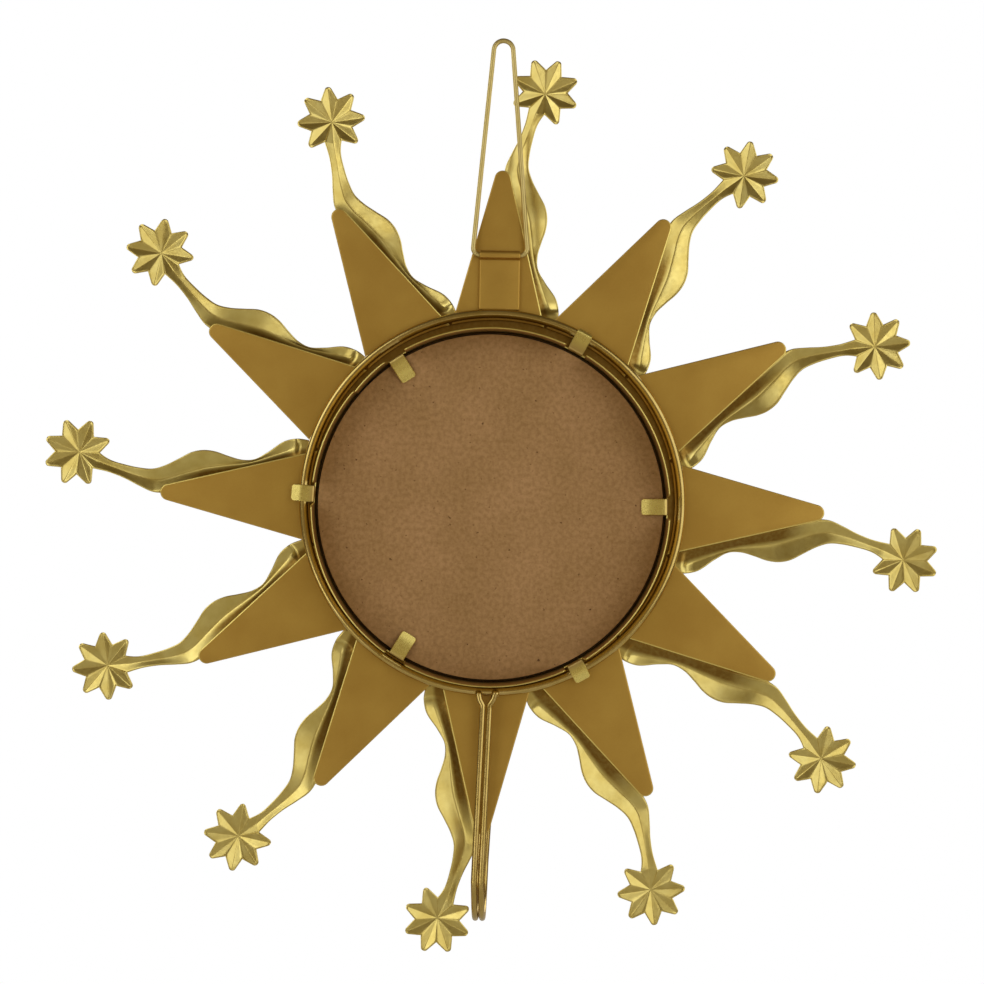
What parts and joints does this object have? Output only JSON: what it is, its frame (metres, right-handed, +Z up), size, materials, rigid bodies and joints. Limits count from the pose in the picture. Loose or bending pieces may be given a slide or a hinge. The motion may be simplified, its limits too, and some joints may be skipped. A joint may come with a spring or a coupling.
{
  "type": "wall mirror",
  "caption": "Round gold sunburst wall mirror with flat and wavy star-tipped rays, a hanging loop and a wire hook arm.",
  "frame": {"origin": "the point inside the top of the hanging loop where a nail or hook bears", "axes": "+Z up as it hangs, -Y the way the mirror faces, +Y into the wall, +X to the right of someone who looks into the mirror"},
  "size_m": [0.5008, 0.0659, 0.5116],
  "materials": {
    "flat_gold": "satin gold paint on sheet metal, brownish",
    "bright_gold": "satin bright gold on pressed sheet metal and wire",
    "board_brown": "bare fibreboard, matt brown with fine flecks",
    "mirror_plate": "silvered glass, polished"
  },
  "bodies": {
    "loop": {"hanging_loop": "bright_gold"},
    "sunburst": {"loop_strap": "flat_gold", "wire_ring": "bright_gold", "hook_arm": "bright_gold", "mirror_rim": "bright_gold", "backing_board": "board_brown", "mirror_glass": "mirror_plate", "flat_ray_01": "flat_gold", "flat_ray_02": "flat_gold", "flat_ray_03": "flat_gold", "flat_ray_04": "flat_gold", "flat_ray_05": "flat_gold", "flat_ray_06": "flat_gold", "flat_ray_07": "flat_gold", "flat_ray_08": "flat_gold", "flat_ray_09": "flat_gold", "flat_ray_10": "flat_gold", "flat_ray_11": "flat_gold", "flat_ray_12": "flat_gold", "wavy_ray_01": "bright_gold", "wavy_ray_02": "bright_gold", "wavy_ray_03": "bright_gold", "wavy_ray_04": "bright_gold", "wavy_ray_05": "bright_gold", "wavy_ray_06": "bright_gold", "wavy_ray_07": "bright_gold", "wavy_ray_08": "bright_gold", "wavy_ray_09": "bright_gold", "wavy_ray_10": "bright_gold", "wavy_ray_11": "bright_gold", "wavy_ray_12": "bright_gold"}
  },
  "joints": [
    {"name": "loop_pivot", "type": "hinge", "parent": "loop", "child": "sunburst", "pos_m": [0, 0, -0.1185], "axis": [1, 0, 0], "range_deg": [0, 150]}
  ]
}
